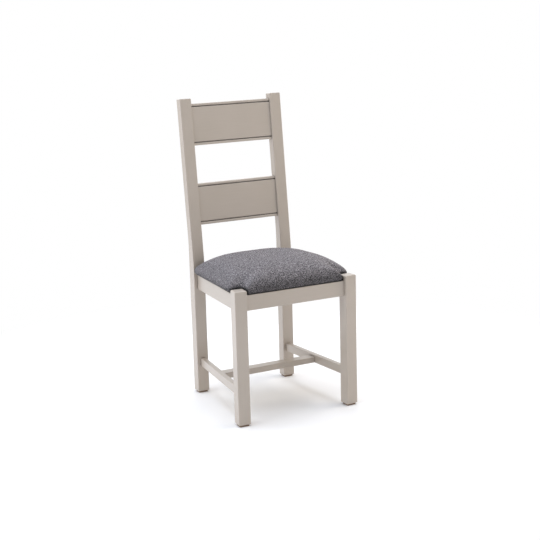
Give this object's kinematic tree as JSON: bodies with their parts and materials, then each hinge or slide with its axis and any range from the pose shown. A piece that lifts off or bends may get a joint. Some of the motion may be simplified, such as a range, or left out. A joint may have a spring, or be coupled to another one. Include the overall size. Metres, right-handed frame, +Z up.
{
  "type": "dining chair",
  "caption": "Painted wooden dining chair with a raked back of broad beaded slats, square legs, stretchers below and a domed fabric seat pad notched round the legs.",
  "frame": {"origin": "on the floor, under the middle of the chair's outer box", "axes": "+Z up, -Y towards the front of the chair, +X towards the right side of somebody who looks at the front"},
  "size_m": [0.4606, 0.4978, 1.0597],
  "materials": {
    "painted_wood": "satin stone-grey paint over hardwood",
    "bare_wood": "sawn, unpainted",
    "plywood": "plain plywood",
    "seat_foam": "open-cell foam",
    "seat_fabric": "charcoal woven cloth with a light fleck",
    "dust_cloth": "thin black non-woven cloth",
    "brown_plastic": "matt",
    "zinc_screw_steel": "zinc plated"
  },
  "bodies": {
    "root": {"corner_block_front_left": "bare_wood", "corner_block_front_right": "bare_wood", "corner_block_rear_left": "bare_wood", "corner_block_rear_right": "bare_wood", "corner_block_screws": "zinc_screw_steel", "cross_stretcher": "painted_wood", "foot_glides": "brown_plastic", "front_leg_left": "painted_wood", "front_leg_right": "painted_wood", "front_seat_rail": "painted_wood", "glide_nails": "zinc_screw_steel", "lower_back_slat": "painted_wood", "rear_leg_left": "painted_wood", "rear_leg_right": "painted_wood", "rear_seat_rail": "painted_wood", "seat_board": "plywood", "seat_bottom_cloth": "dust_cloth", "seat_cover": "seat_fabric", "seat_foam": "seat_foam", "seat_screws": "zinc_screw_steel", "side_seat_rail_left": "painted_wood", "side_seat_rail_right": "painted_wood", "side_stretcher_left": "painted_wood", "side_stretcher_right": "painted_wood", "upper_back_slat": "painted_wood"}
  },
  "joints": []
}
